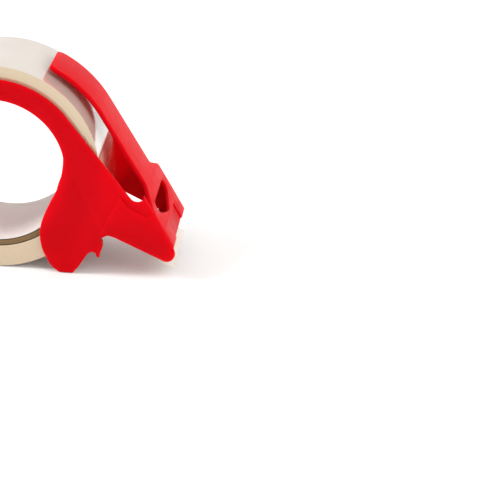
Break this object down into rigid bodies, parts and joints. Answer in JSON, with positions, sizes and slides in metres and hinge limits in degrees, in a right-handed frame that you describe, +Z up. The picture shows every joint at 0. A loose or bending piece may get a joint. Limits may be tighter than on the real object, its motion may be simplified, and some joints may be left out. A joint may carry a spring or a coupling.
{
  "type": "tape dispenser",
  "caption": "Hand-held packing tape dispenser with open side hoops, a roll guard band, a flared nose with a toothed cutter, and a free-turning roll of clear tape.",
  "frame": {"origin": "centre of the bounding box at ground level, where the feet and the roll rest", "axes": "+X from the roll towards the nose and cutter, +Y from the near side frame to the far one, along the roll's axis, +Z up"},
  "size_m": [0.1426, 0.055, 0.104],
  "materials": {
    "red_plastic": "satin moulded red plastic",
    "cutter_steel": "plain steel strip",
    "clear_tape": "clear glossy film, pale tan where wound",
    "core_card": "brown card",
    "liner_paper": "matt white paper"
  },
  "bodies": {
    "frame": {"near_side_frame": "red_plastic", "far_side_frame": "red_plastic", "tape_guide_bar": "red_plastic", "spacer_pin": "red_plastic", "nose_platen": "red_plastic", "cutter_blade": "cutter_steel", "tape_lead": "clear_tape"},
    "roll": {"tape_winding": "clear_tape", "tape_core": "core_card", "core_liner": "liner_paper"}
  },
  "joints": [
    {"name": "roll_spin", "type": "hinge", "parent": "frame", "child": "roll", "pos_m": [-0.01928, 0, 0.052], "axis": [0, 1, 0], "continuous": true}
  ]
}
